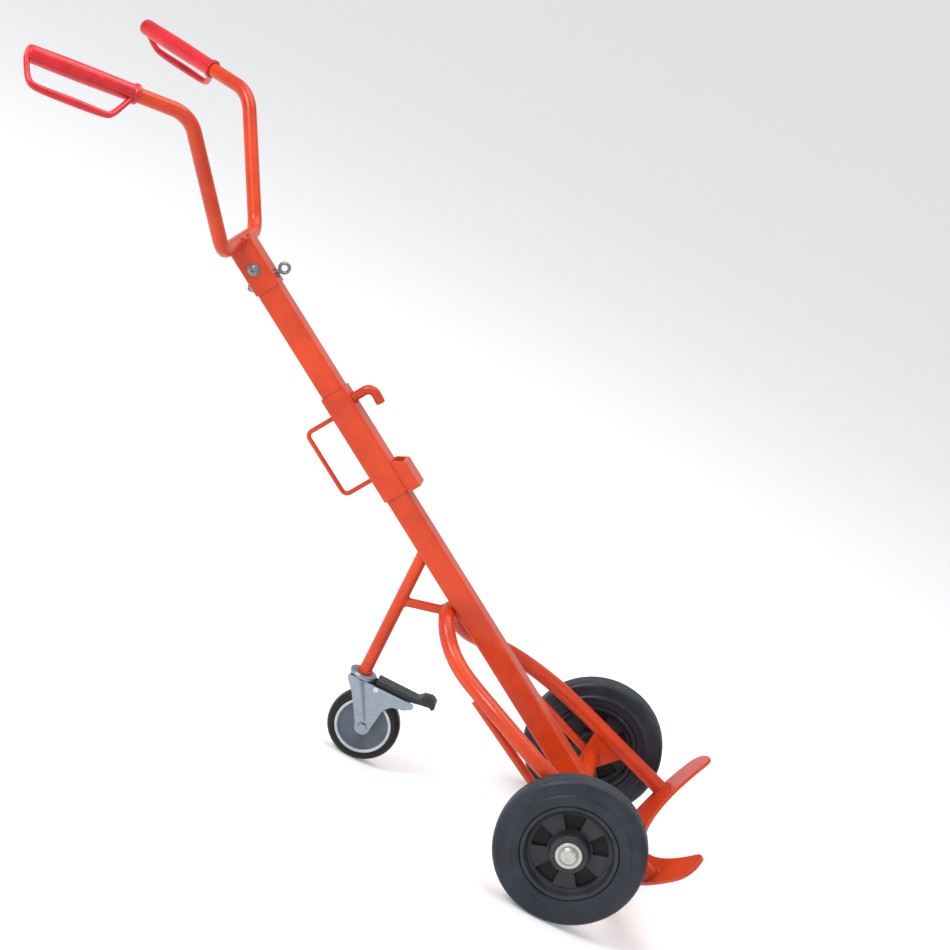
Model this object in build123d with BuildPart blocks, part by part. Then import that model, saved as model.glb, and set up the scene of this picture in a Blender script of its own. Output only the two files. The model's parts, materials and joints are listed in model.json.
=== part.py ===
"""Drum dolly: leaning square mast, sliding rim hook, crescent toe, two wheels and a swivel caster.

World frame: +Z up, floor at Z = 0, +X towards the drum, Y = 0 is the plane of symmetry and
X = 0 is half way along the dolly as it stands on its three wheels.
Positions on the leaning frame are given as (t, y, s): t forwards from the axle across the mast,
s upwards along the mast, both measured from the wheel axle.
"""
import os
from math import cos, radians, sin, tan

from build123d import *

os.makedirs("parts", exist_ok=True)

# ---- driving dimensions (mm) ----
AXLE_X = 537.4             # wheel axle in front of the middle of the dolly
WHEEL_RADIUS = 125
WHEEL_PLANE = 248          # wheel mid plane from the centre of the dolly
TYRE_WIDTH = 50
MAST_LEAN = 57.5           # degrees back from vertical, all three wheels on the floor
MAST_SIDE = 40
MAST_WALL = 2.5
MAST_T = 5                 # mast centre line in front of the axle
MAST_TOP = 1076
TOE_TOP = -117             # toe plate top face, along the mast
TOE_THICK = 6
DRUM_CENTRE_T = 300
TOE_OUTER = 317
TOE_INNER = 250
TOE_HALF_ANGLE = 62
FIT = 0.3                  # air gap between pieces that move past each other
AXLE_RADIUS = 10
RUNNING = 0.05             # radial clearance of a running bore
CASTER_X = AXLE_X - 423
CASTER_TRAIL = 38
CASTER_RADIUS = 62.5

lean = radians(MAST_LEAN)
MAST = Plane(origin=(AXLE_X, 0, WHEEL_RADIUS), x_dir=(cos(lean), 0, sin(lean)), z_dir=(-sin(lean), 0, cos(lean)))
AXLE_SECTION = Plane(origin=(AXLE_X, 0, WHEEL_RADIUS), x_dir=(1, 0, 0), z_dir=(0, -1, 0))
MAST_BACK = MAST_T - MAST_SIDE / 2
PROFILE = Plane(origin=(AXLE_X, 0, WHEEL_RADIUS), x_dir=MAST.x_dir, z_dir=(0, -1, 0))


def on_mast(t, y, s):
    """World point of a place given as (t, y, s)."""
    return MAST.from_local_coords(Vector(t, y, s))


def write(builder, label):
    """Label a finished piece and write its STEP file."""
    builder.part.label = label
    export_step(builder.part, f"parts/{label}.step")


def rod(path, radius):
    """A private solid round bar along a path, used to cope the end of a neighbour."""
    start = Plane(origin=path @ 0, z_dir=path % 0)
    return sweep(start * Circle(radius), path=path)


def bent_path(points, radii):
    """A wire of straight runs through points, with each inner corner bent to its own radius."""
    edges = []
    start = points[0]
    for before, corner, after, radius in zip(points, points[1:], points[2:], radii):
        back = (before - corner).normalized()
        ahead = (after - corner).normalized()
        half_angle = radians(back.get_angle(ahead)) / 2
        setback = radius / tan(half_angle)
        middle = corner + (back + ahead).normalized() * (radius / sin(half_angle) - radius)
        edges.append(Line(start, corner + back * setback).edge())
        edges.append(ThreePointArc(corner + back * setback, middle, corner + ahead * setback).edge())
        start = corner + ahead * setback
    edges.append(Line(start, points[-1]).edge())
    return Wire(edges)


def mirrored(label_left, label_right, make):
    """Write a piece for the left (+Y) side and its mirror image for the right (-Y) side."""
    left = make()
    write(left, label_left)
    with BuildPart() as right:
        add(mirror(left.part, about=Plane.XZ))
    write(right, label_right)


# ---- mast ----
AXLE_TUBE_RADIUS = 14
SOCKET_BOLT_S = 1043
EYE_BOLT_S = 1019
with BuildPart() as mast:
    with BuildSketch(MAST.offset(TOE_TOP)):
        with Locations((MAST_T, 0)):
            RectangleRounded(MAST_SIDE, MAST_SIDE, 4)
            inner_side = MAST_SIDE - 2 * MAST_WALL
            RectangleRounded(inner_side, inner_side, 1.5, mode=Mode.SUBTRACT)
    extrude(amount=MAST_TOP - TOE_TOP)
    with BuildSketch(PROFILE):
        Circle(AXLE_TUBE_RADIUS)
        with Locations((4, SOCKET_BOLT_S)):
            Circle(5.2)
    extrude(amount=MAST_SIDE, both=True, mode=Mode.SUBTRACT)
    with BuildSketch(Plane(origin=on_mast(MAST_T, 0, EYE_BOLT_S), z_dir=MAST.x_dir)):
        Circle(4.2)
    extrude(amount=MAST_SIDE, both=True, mode=Mode.SUBTRACT)
write(mast, "mast")

# ---- bent tube that carries the two grips ----
HANDLE_RADIUS = 12
HANDLE_WALL = 2
CROSSBAR_S = 1094
SPLAY = radians(30)
ARM_TOP = Vector(AXLE_X - 1042, 216, 906)
GRIP_RUN = 273
crossbar_centre = on_mast(MAST_T - 2, 0, CROSSBAR_S)
arm_foot = crossbar_centre + Vector(0, 126, 0)
grip_direction = Vector(-cos(SPLAY), sin(SPLAY), 0)
tube_end = ARM_TOP + grip_direction * (GRIP_RUN - 6)
half_handle = bent_path([crossbar_centre, arm_foot, ARM_TOP, tube_end], [38, 62])
handle_start = Plane(origin=crossbar_centre, z_dir=(0, 1, 0))
with BuildPart() as handle_tube:
    with BuildSketch(handle_start):
        Circle(HANDLE_RADIUS)
        Circle(HANDLE_RADIUS - HANDLE_WALL, mode=Mode.SUBTRACT)
    sweep(path=half_handle)
    mirror(about=Plane.XZ)
write(handle_tube, "handle_tube")

# ---- square socket that holds the handle on the mast ----
SOCKET_BOTTOM = 1003
SOCKET_SIDE = 45
crossbar_rod = extrude(handle_start * Circle(HANDLE_RADIUS + 0.02), amount=SOCKET_SIDE, both=True)
with BuildPart() as handle_socket:
    with BuildSketch(MAST.offset(SOCKET_BOTTOM)):
        with Locations((MAST_T, 0)):
            RectangleRounded(SOCKET_SIDE, SOCKET_SIDE, 4.5)
            RectangleRounded(MAST_SIDE + 0.2, MAST_SIDE + 0.2, 4, mode=Mode.SUBTRACT)
    extrude(amount=CROSSBAR_S - SOCKET_BOTTOM - 3)
    add(crossbar_rod, mode=Mode.SUBTRACT)
    with BuildSketch(PROFILE):
        with Locations((4, SOCKET_BOLT_S)):
            Circle(5.2)
    extrude(amount=SOCKET_SIDE, both=True, mode=Mode.SUBTRACT)
    with BuildSketch(Plane(origin=on_mast(MAST_T, 0, EYE_BOLT_S), z_dir=MAST.x_dir)):
        Circle(4.2)
    extrude(amount=SOCKET_SIDE, both=True, mode=Mode.SUBTRACT)
write(handle_socket, "handle_socket")

with BuildPart() as socket_plug:
    with BuildSketch(MAST.offset(MAST_TOP)):
        with Locations((MAST_T, 0)):
            RectangleRounded(MAST_SIDE, MAST_SIDE, 4)
    extrude(amount=4)
    with BuildSketch(MAST.offset(MAST_TOP)):
        with Locations((MAST_T, 0)):
            RectangleRounded(MAST_SIDE - 2 * MAST_WALL - 0.2, MAST_SIDE - 2 * MAST_WALL - 0.2, 1.5)
    extrude(amount=-14)
write(socket_plug, "mast_end_cap")

socket_face = SOCKET_SIDE / 2
with BuildPart() as socket_bolt:
    bolt_axis = Plane(origin=on_mast(4, -socket_face, SOCKET_BOLT_S), x_dir=MAST.x_dir, z_dir=(0, -1, 0))
    with BuildSketch(bolt_axis):
        Circle(10)
    extrude(amount=1.6)
    with BuildSketch(bolt_axis.offset(1.6)):
        RegularPolygon(8.5, 6, major_radius=False)
    extrude(amount=6.4)
    with BuildSketch(bolt_axis):
        Circle(5)
    extrude(amount=-(SOCKET_SIDE + 12))
    chamfer(socket_bolt.faces().sort_by(Axis.Y)[-1].edges(), 0.8)
write(socket_bolt, "socket_bolt")

with BuildPart() as socket_nut:
    nut_plane = Plane(origin=on_mast(4, socket_face, SOCKET_BOLT_S), x_dir=MAST.x_dir, z_dir=(0, 1, 0))
    with BuildSketch(nut_plane):
        RegularPolygon(8.5, 6, major_radius=False)
        Circle(5 + RUNNING, mode=Mode.SUBTRACT)
    extrude(amount=8)
write(socket_nut, "socket_nut")

EYE_T = 44
with BuildPart() as eye_bolt:
    shank = Plane(origin=on_mast(MAST_T - 32, 0, EYE_BOLT_S), z_dir=MAST.x_dir)
    with BuildSketch(shank):
        Circle(4)
    extrude(amount=EYE_T - 8.2 - (MAST_T - 32) + 2)
    with BuildSketch(Plane(origin=on_mast(MAST_T + socket_face, 0, EYE_BOLT_S), z_dir=MAST.x_dir)):
        Circle(8)
    extrude(amount=3)
    ring_centre = on_mast(EYE_T, 0, EYE_BOLT_S)
    tube_centre = on_mast(EYE_T, 0, EYE_BOLT_S + 8)
    with BuildSketch(Plane(origin=tube_centre, x_dir=MAST.z_dir, z_dir=MAST.x_dir)):
        Circle(2.8)
    revolve(axis=Axis(ring_centre, (0, 1, 0)), revolution_arc=360)
write(eye_bolt, "eye_bolt")

with BuildPart() as eye_nut:
    back_face = MAST_T - socket_face
    with BuildSketch(Plane(origin=on_mast(back_face, 0, EYE_BOLT_S), z_dir=-MAST.x_dir)):
        RegularPolygon(6.5, 6, major_radius=False)
        Circle(4 + RUNNING, mode=Mode.SUBTRACT)
    extrude(amount=6.5)
write(eye_nut, "eye_bolt_nut")

# ---- grips with their hand guards ----
GRIP_RADIUS = 14.5
GRIP_START = 90
GUARD_OUT = 46
GUARD_DOWN = 36
across_grip = Vector(sin(SPLAY), cos(SPLAY), 0)
guard_offset = (across_grip * GUARD_OUT) + Vector(0, 0, -GUARD_DOWN)


def grip_point(along, share):
    """A point along the grip, moved out by a share of the guard's offset."""
    return ARM_TOP + grip_direction * along + guard_offset * share


def make_grip():
    guard_route = [(GRIP_START + 9, 0.1), (GRIP_START + 42, 1), (GRIP_RUN - 8, 1), (GRIP_RUN - 1, 0.15)]
    guard_path = bent_path([grip_point(a, k) for a, k in guard_route], [14, 16])
    start = grip_point(GRIP_START, 0)
    bore = GRIP_RUN - 6 - GRIP_START
    with BuildPart() as grip:
        with BuildSketch(Plane(origin=start, z_dir=grip_direction)):
            Circle(GRIP_RADIUS)
        extrude(amount=GRIP_RUN - GRIP_START)
        end_edges = grip.edges().filter_by(GeomType.CIRCLE).sort_by(Axis((0, 0, 0), grip_direction))
        fillet(end_edges[-1], 5)
        with BuildSketch(Plane(origin=start, z_dir=grip_direction)):
            Circle(GRIP_RADIUS + 2)
        extrude(amount=7)
        with BuildSketch(Plane(origin=guard_path @ 0, z_dir=guard_path % 0)):
            Circle(5.5)
        sweep(path=guard_path)
        with BuildSketch(Plane(origin=start, z_dir=grip_direction)):
            Circle(HANDLE_RADIUS)
        extrude(amount=bore, mode=Mode.SUBTRACT)
    return grip


mirrored("left_grip", "right_grip", make_grip)

# ---- sliding sleeve with the rim hook ----
SLEEVE_BOTTOM = 603
SLEEVE_LENGTH = 200
SLEEVE_SIDE = 46
SLEEVE_GAP = 0.5
SLEEVE_FRONT = MAST_T + SLEEVE_SIDE / 2
SLEEVE_BACK = MAST_T - SLEEVE_SIDE / 2
with BuildPart() as hook_sleeve:
    with BuildSketch(MAST.offset(SLEEVE_BOTTOM)):
        with Locations((MAST_T, 0)):
            RectangleRounded(SLEEVE_SIDE, SLEEVE_SIDE, 4.5)
            RectangleRounded(MAST_SIDE + 2 * SLEEVE_GAP, MAST_SIDE + 2 * SLEEVE_GAP, 4, mode=Mode.SUBTRACT)
    extrude(amount=SLEEVE_LENGTH)
write(hook_sleeve, "hook_sleeve")

HOOK_RADIUS = 8
HOOK_S = 779
HOOK_REACH = 64
with BuildPart() as drum_hook:
    hook_path = bent_path(
        [on_mast(SLEEVE_FRONT, 0, HOOK_S), on_mast(HOOK_REACH, 0, HOOK_S), on_mast(HOOK_REACH - 2, 0, HOOK_S - 32)],
        [14],
    )
    with BuildSketch(Plane(origin=hook_path @ 0, z_dir=hook_path % 0)):
        Circle(HOOK_RADIUS)
    sweep(path=hook_path)
    tip = drum_hook.edges().filter_by(GeomType.CIRCLE).sort_by(Axis((0, 0, 0), MAST.z_dir))[0]
    fillet(tip, 3)
write(drum_hook, "drum_hook")

with BuildPart() as hook_foot:
    foot_plane = Plane(origin=on_mast(SLEEVE_FRONT, 0, HOOK_S), x_dir=MAST.z_dir, z_dir=MAST.x_dir)
    with BuildSketch(foot_plane):
        Circle(11)
        Circle(HOOK_RADIUS + 0.02, mode=Mode.SUBTRACT)
    extrude(amount=3)
write(hook_foot, "hook_weld_collar")

PULL_WIRE = 4
PULL_T = -74
with BuildPart() as pull_handle:
    pull_path = bent_path(
        [on_mast(SLEEVE_BACK, 0, 766), on_mast(PULL_T, 0, 766), on_mast(PULL_T, 0, 645), on_mast(SLEEVE_BACK, 0, 645)],
        [10, 10],
    )
    with BuildSketch(Plane(origin=pull_path @ 0, z_dir=pull_path % 0)):
        Circle(PULL_WIRE)
    sweep(path=pull_path)
write(pull_handle, "pull_handle")

REST_BOTTOM = 598
REST_TOP = 656
REST_DEPTH = 22
with BuildPart() as drum_rest:
    with BuildSketch(MAST.offset(REST_BOTTOM)):
        with BuildLine():
            front = SLEEVE_FRONT + REST_DEPTH
            Polyline(
                (SLEEVE_FRONT, 22), (front, 22), (front, -22), (SLEEVE_FRONT, -22),
                (SLEEVE_FRONT, -18), (front - 4, -18), (front - 4, 18), (SLEEVE_FRONT, 18), close=True,
            )
        make_face()
    extrude(amount=REST_TOP - REST_BOTTOM)
    with BuildSketch(PROFILE):
        with BuildLine():
            Polyline(
                (SLEEVE_FRONT + 2, REST_TOP + 1), (SLEEVE_FRONT + REST_DEPTH + 1, REST_TOP + 1),
                (SLEEVE_FRONT + REST_DEPTH + 1, REST_TOP - 12), close=True,
            )
        make_face()
    extrude(amount=30, both=True, mode=Mode.SUBTRACT)
write(drum_rest, "drum_rest")

with BuildPart() as sleeve_glides:
    for glide_s in (SLEEVE_BOTTOM + 8, SLEEVE_BOTTOM + SLEEVE_LENGTH - 26):
        glide_gap = 0.1
        glide_thick = SLEEVE_GAP - glide_gap
        for side in (1, -1):
            offset_t = MAST_T + side * (MAST_SIDE / 2 + SLEEVE_GAP - glide_thick / 2)
            with BuildSketch(MAST.offset(glide_s)):
                with Locations((offset_t, 0)):
                    Rectangle(glide_thick, 26)
                with Locations((MAST_T, side * (MAST_SIDE / 2 + SLEEVE_GAP - glide_thick / 2))):
                    Rectangle(26, glide_thick)
            extrude(amount=18)
write(sleeve_glides, "sleeve_glides")

# ---- bent leg hoop behind and below the mast ----
LEG_RADIUS = 14
LEG_WALL = 2
LEG_Y = 198
APEX_S = 388
APEX_T = MAST_BACK - LEG_RADIUS
leg_bend = Spline(
    on_mast(APEX_T, 0, APEX_S), on_mast(-41, 66, 344), on_mast(-20, 138, 259), on_mast(10, 186, 157),
    on_mast(34, LEG_Y, 60),
    tangents=(Vector(0, 1, 0), on_mast(78, LEG_Y, TOE_TOP) - on_mast(34, LEG_Y, 60)),
)
leg_straight = Line(on_mast(34, LEG_Y, 60), on_mast(78, LEG_Y, TOE_TOP - 10))
leg_path = Wire([leg_bend.edge(), leg_straight.edge()])
below_toe = MAST.offset(TOE_TOP - 60) * Box(900, 900, 120)
with BuildPart() as leg_hoop:
    with BuildSketch(Plane(origin=on_mast(APEX_T, 0, APEX_S), z_dir=(0, 1, 0))):
        Circle(LEG_RADIUS)
        Circle(LEG_RADIUS - LEG_WALL, mode=Mode.SUBTRACT)
    sweep(path=leg_path)
    add(below_toe, mode=Mode.SUBTRACT)
    mirror(about=Plane.XZ)
write(leg_hoop, "leg_hoop")

leg_rod = rod(leg_path, LEG_RADIUS + 0.02)
axle_tube_rod = extrude(AXLE_SECTION * Circle(AXLE_TUBE_RADIUS + 0.02), amount=400, both=True)

STRUT_RADIUS = 7.5
STRUT_Y = 202


strut_line = Line(on_mast(-34, 134, 262), on_mast(-2, STRUT_Y, 0))
strut_rod = rod(strut_line, STRUT_RADIUS + 0.02)


def make_strut():
    with BuildPart() as strut:
        with BuildSketch(Plane(origin=strut_line @ 0, z_dir=strut_line % 0)):
            Circle(STRUT_RADIUS)
            Circle(STRUT_RADIUS - 1.5, mode=Mode.SUBTRACT)
        sweep(path=strut_line)
        add(leg_rod, mode=Mode.SUBTRACT)
        add(axle_tube_rod, mode=Mode.SUBTRACT)
        pieces = strut.part.solids().sort_by(SortBy.VOLUME)
        for scrap in pieces[:-1]:
            add(scrap, mode=Mode.SUBTRACT)
    return strut


mirrored("left_strut", "right_strut", make_strut)

# ---- axle, its tube and the brackets that tie it to the legs ----
AXLE_TUBE_HALF = 217.5
with BuildPart() as axle_tube:
    with BuildSketch(AXLE_SECTION):
        Circle(AXLE_TUBE_RADIUS)
        Circle(AXLE_RADIUS + 0.1, mode=Mode.SUBTRACT)
    extrude(amount=AXLE_TUBE_HALF, both=True)
write(axle_tube, "axle_tube")

AXLE_HALF = 281
with BuildPart() as axle:
    with BuildSketch(AXLE_SECTION):
        Circle(AXLE_RADIUS)
    extrude(amount=AXLE_HALF, both=True)
    chamfer(axle.edges().filter_by(GeomType.CIRCLE), 1.2)
write(axle, "axle")


def make_bracket():
    with BuildPart() as bracket:
        with BuildSketch(PROFILE.offset(-190)):
            with BuildLine():
                Polyline((-22, 6), (-10, -22), (56, -34), (56, 30), (30, 34), close=True)
            make_face()
            Circle(AXLE_TUBE_RADIUS + 0.02, mode=Mode.SUBTRACT)
        extrude(amount=-6)
        add(leg_rod, mode=Mode.SUBTRACT)
        add(strut_rod, mode=Mode.SUBTRACT)
        pieces = bracket.part.solids().sort_by(SortBy.VOLUME)
        for scrap in pieces[:-1]:
            add(scrap, mode=Mode.SUBTRACT)
    return bracket


mirrored("left_axle_bracket", "right_axle_bracket", make_bracket)

# ---- toe plate and its gussets ----
with BuildPart() as toe_plate:
    with BuildSketch(MAST.offset(TOE_TOP)):
        with Locations((DRUM_CENTRE_T, 0)):
            Circle(TOE_OUTER)
            Circle(TOE_INNER, mode=Mode.SUBTRACT)
        with BuildLine():
            reach = TOE_OUTER * 1.6
            half = radians(TOE_HALF_ANGLE)
            corner = (DRUM_CENTRE_T - reach * cos(half), reach * sin(half))
            Polyline(
                (DRUM_CENTRE_T, 0), corner, (DRUM_CENTRE_T - reach, reach), (DRUM_CENTRE_T - reach, -reach),
                (corner[0], -corner[1]), close=True,
            )
        make_face(mode=Mode.INTERSECT)
    extrude(amount=-TOE_THICK)
    fillet(toe_plate.edges().filter_by(Axis((0, 0, 0), MAST.z_dir)), 26)
    fillet(toe_plate.faces().filter_by(MAST).sort_by(Axis((0, 0, 0), MAST.z_dir))[-1].edges(), 1.2)
write(toe_plate, "toe_plate")


def make_gusset():
    with BuildPart() as gusset:
        with BuildSketch(Plane(origin=on_mast(2, 0, TOE_TOP), x_dir=(0, 1, 0), z_dir=MAST.x_dir)):
            with BuildLine():
                Polyline(
                    (MAST_SIDE / 2, 0), (82, 0), (82, 8), (MAST_SIDE / 2 + 10, 74), (MAST_SIDE / 2, 74), close=True,
                )
            make_face()
        extrude(amount=6)
    return gusset


mirrored("left_toe_gusset", "right_toe_gusset", make_gusset)

# ---- main wheels ----
RIM_RADIUS = 80
HUB_RADIUS = 33
BUSH_RADIUS = 15
HUB_HALF = 27
SPOKE_FIRST = 35


def wheel_ring(profile):
    """Revolve a profile given as (radius, distance from the wheel's mid plane) about the axle."""
    with BuildPart() as ring:
        with BuildSketch(Plane.XY.offset(WHEEL_RADIUS)):
            with BuildLine():
                Polyline(*[(AXLE_X + r, WHEEL_PLANE + w) for r, w in profile], close=True)
            make_face()
        revolve(axis=Axis((AXLE_X, 0, WHEEL_RADIUS), (0, 1, 0)), revolution_arc=360)
    return ring


def make_tyre():
    half = TYRE_WIDTH / 2
    right_half = [
        (RIM_RADIUS, half - 6), (RIM_RADIUS + 4, half - 2), (95, half - 1), (98, half - 2.5), (112, half - 1.5),
        (119, half - 3.5), (123.5, half - 9), (WHEEL_RADIUS, half - 15),
    ]
    profile = right_half + [(r, -w) for r, w in reversed(right_half)]
    return wheel_ring(profile)


def make_rim():
    lip = TYRE_WIDTH / 2 - 5
    barrel_inner = 66
    web = 5
    right_half = [
        (BUSH_RADIUS, HUB_HALF), (HUB_RADIUS - 4, HUB_HALF), (HUB_RADIUS, HUB_HALF - 8), (HUB_RADIUS, web + 6),
        (barrel_inner, web + 2), (barrel_inner + 4, lip - 1), (RIM_RADIUS - 5, lip), (RIM_RADIUS, lip - 2),
    ]
    profile = right_half + [(r, -w) for r, w in reversed(right_half)]
    rim = wheel_ring(profile)
    with BuildPart() as spoked:
        add(rim.part)
        with BuildSketch(AXLE_SECTION):
            with PolarLocations(0, 5, start_angle=SPOKE_FIRST):
                with BuildLine():
                    Polyline((36, -9.5), (62, -19), (64.5, 0), (62, 19), (36, 9.5), close=True)
                make_face()
        extrude(amount=-(WHEEL_PLANE + 60), mode=Mode.SUBTRACT)
    return spoked


mirrored("left_tyre", "right_tyre", make_tyre)
mirrored("left_rim", "right_rim", make_rim)


def axle_disc(inner, outer, y_from, y_to):
    """A flat ring on the left end of the axle."""
    with BuildPart() as disc:
        with BuildSketch(AXLE_SECTION.offset(-y_from)):
            Circle(outer)
            Circle(inner, mode=Mode.SUBTRACT)
        extrude(amount=-(y_to - y_from))
    return disc


HUB_OUT = WHEEL_PLANE + HUB_HALF
HUB_IN = WHEEL_PLANE - HUB_HALF
mirrored("left_bush", "right_bush", lambda: axle_disc(AXLE_RADIUS + RUNNING, BUSH_RADIUS, HUB_IN, HUB_OUT))
mirrored(
    "left_inner_washer", "right_inner_washer",
    lambda: axle_disc(AXLE_RADIUS + 0.1, 17, AXLE_TUBE_HALF, HUB_IN - FIT),
)
mirrored(
    "left_outer_washer", "right_outer_washer",
    lambda: axle_disc(AXLE_RADIUS + 0.1, 22, HUB_OUT + FIT, HUB_OUT + FIT + 2.5),
)


def make_axle_cap():
    seat = HUB_OUT + FIT + 2.5
    with BuildPart() as cap:
        with BuildSketch(AXLE_SECTION.offset(-seat)):
            Circle(14)
        extrude(amount=-6)
        fillet(cap.edges().filter_by(GeomType.CIRCLE).sort_by(Axis.Y)[-1], 3.5)
        with BuildSketch(AXLE_SECTION.offset(-seat)):
            Circle(AXLE_RADIUS + RUNNING)
        extrude(amount=-(AXLE_HALF + FIT - seat), mode=Mode.SUBTRACT)
    return cap


mirrored("left_axle_cap", "right_axle_cap", make_axle_cap)

# ---- caster leg, brace and stem socket ----
CASTER_LEG_RADIUS = 11
LEG_FOOT_Z = 150
mast_block = MAST.offset(300) * Pos(MAST_T, 0, 100) * Box(MAST_SIDE + 0.04, MAST_SIDE + 0.04, 500)
with BuildPart() as caster_leg:
    with BuildSketch(Plane(origin=(CASTER_X, 0, LEG_FOOT_Z))):
        Circle(CASTER_LEG_RADIUS)
        Circle(CASTER_LEG_RADIUS - 2, mode=Mode.SUBTRACT)
    extrude(amount=262)
    add(mast_block, mode=Mode.SUBTRACT)
    above_mast = caster_leg.part.solids().sort_by(Axis.Z)
    for scrap in above_mast[1:]:
        add(scrap, mode=Mode.SUBTRACT)
write(caster_leg, "caster_leg")

caster_leg_rod = extrude(Plane(origin=(CASTER_X, 0, LEG_FOOT_Z)) * Circle(CASTER_LEG_RADIUS + 0.02), amount=220)
apex_rod = extrude(
    Plane(origin=on_mast(APEX_T, 0, APEX_S), z_dir=(0, 1, 0)) * Circle(LEG_RADIUS + 0.02), amount=30, both=True
)
BRACE_RADIUS = 8
with BuildPart() as caster_brace:
    brace_line = Line((CASTER_X, 0, 288), on_mast(APEX_T, 0, APEX_S))
    with BuildSketch(Plane(origin=brace_line @ 0, z_dir=brace_line % 0)):
        Circle(BRACE_RADIUS)
        Circle(BRACE_RADIUS - 1.5, mode=Mode.SUBTRACT)
    sweep(path=brace_line)
    add(caster_leg_rod, mode=Mode.SUBTRACT)
    add(apex_rod, mode=Mode.SUBTRACT)
write(caster_brace, "caster_brace")

STEM_RADIUS = 6
with BuildPart() as stem_socket:
    with BuildSketch(Plane(origin=(CASTER_X, 0, LEG_FOOT_Z))):
        Circle(CASTER_LEG_RADIUS - 2)
        Circle(STEM_RADIUS + RUNNING, mode=Mode.SUBTRACT)
    extrude(amount=40)
    with BuildSketch(Plane(origin=(CASTER_X, 0, LEG_FOOT_Z - 3))):
        Circle(CASTER_LEG_RADIUS + 3)
        Circle(STEM_RADIUS + RUNNING, mode=Mode.SUBTRACT)
    extrude(amount=3)
write(stem_socket, "stem_socket")

# ---- caster: fixed head, ball race, turning fork ----
PLATE_TOP = LEG_FOOT_Z - 3
PLATE_BOTTOM = PLATE_TOP - 3
BALL_RADIUS = 2.8
BALL_RING = 16
CROWN_TOP = PLATE_BOTTOM - 2 * BALL_RADIUS - 0.4
CROWN_THICK = 3
KINGPIN_RADIUS = 5
with BuildPart() as caster_head:
    with BuildSketch(Plane(origin=(CASTER_X, 0, PLATE_BOTTOM))):
        Circle(24)
    extrude(amount=3)
    with BuildSketch(Plane(origin=(CASTER_X, 0, PLATE_BOTTOM))):
        Circle(24)
        Circle(22, mode=Mode.SUBTRACT)
    extrude(amount=-4.5)
    with BuildSketch(Plane(origin=(CASTER_X, 0, PLATE_TOP))):
        Circle(STEM_RADIUS)
    extrude(amount=36)
    with BuildSketch(Plane(origin=(CASTER_X, 0, PLATE_BOTTOM))):
        Circle(KINGPIN_RADIUS)
    extrude(amount=-(PLATE_BOTTOM - CROWN_TOP + CROWN_THICK + FIT))
    with BuildSketch(Plane(origin=(CASTER_X, 0, CROWN_TOP - CROWN_THICK - FIT))):
        Circle(8)
    extrude(amount=-3)
write(caster_head, "caster_head")

with BuildPart() as caster_balls:
    with Locations(Plane(origin=(CASTER_X, 0, PLATE_BOTTOM - BALL_RADIUS - 0.2))):
        with PolarLocations(BALL_RING, 14):
            Sphere(BALL_RADIUS)
write(caster_balls, "caster_balls")

WHEEL_X = CASTER_X + CASTER_TRAIL
CASTER_SECTION = Plane(origin=(WHEEL_X, 0, CASTER_RADIUS), x_dir=(1, 0, 0), z_dir=(0, -1, 0))
FORK_IN = 18.5
FORK_THICK = 2.5
PEDAL_PIVOT_X = -7
PEDAL_PIVOT_Z = 71.5
crown_z = CROWN_TOP - CASTER_RADIUS
with BuildPart() as caster_fork:
    with BuildSketch(CASTER_SECTION.offset(FORK_IN)) as cheek:
        with BuildLine():
            Polyline(
                (-60, crown_z), (62, crown_z + 1), (63, crown_z - 7), (51, 60), (30, 55), (19, 44), (13, 0),
                (-13, 0), (-42, 48), (-60, crown_z - 6), close=True,
            )
        make_face()
        Circle(13.5)
        fillet(cheek.vertices().sort_by(Axis.X)[-4:], 4)
        Circle(4.1, mode=Mode.SUBTRACT)
        with Locations((PEDAL_PIVOT_X, PEDAL_PIVOT_Z)):
            Circle(2.55, mode=Mode.SUBTRACT)
    extrude(amount=FORK_THICK)
    mirror(about=Plane.XZ)
    with BuildSketch(Plane(origin=(WHEEL_X, 0, CROWN_TOP))):
        with Locations((-36.5, 0)):
            Rectangle(43, 2 * FORK_IN)
        with Locations((-CASTER_TRAIL, 0)):
            Circle(KINGPIN_RADIUS + RUNNING, mode=Mode.SUBTRACT)
    extrude(amount=-CROWN_THICK)
write(caster_fork, "caster_fork")

with BuildPart() as caster_bolt:
    with BuildSketch(CASTER_SECTION.offset(-26)):
        Circle(4)
    extrude(amount=51)
    with BuildSketch(CASTER_SECTION.offset(FORK_IN + FORK_THICK)):
        RegularPolygon(6.5, 6, major_radius=False)
    extrude(amount=5)
write(caster_bolt, "caster_bolt")

with BuildPart() as caster_nut:
    with BuildSketch(CASTER_SECTION.offset(-FORK_IN - FORK_THICK)):
        RegularPolygon(6.5, 6, major_radius=False)
        Circle(4 + RUNNING, mode=Mode.SUBTRACT)
    extrude(amount=-5)
write(caster_nut, "caster_nut")

with BuildPart() as caster_spacer:
    with BuildSketch(CASTER_SECTION):
        Circle(6)
        Circle(4 + RUNNING, mode=Mode.SUBTRACT)
    extrude(amount=FORK_IN, both=True)
write(caster_spacer, "caster_spacer")


def caster_ring(profile):
    """Revolve a profile given as (radius, half width) about the caster's axle."""
    both = profile + [(r, -w) for r, w in reversed(profile)]
    with BuildPart() as ring:
        with BuildSketch(Plane.XY.offset(CASTER_RADIUS)):
            with BuildLine():
                Polyline(*[(WHEEL_X + r, w) for r, w in both], close=True)
            make_face()
        revolve(axis=Axis((WHEEL_X, 0, CASTER_RADIUS), (0, 1, 0)), revolution_arc=360)
    return ring


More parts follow.
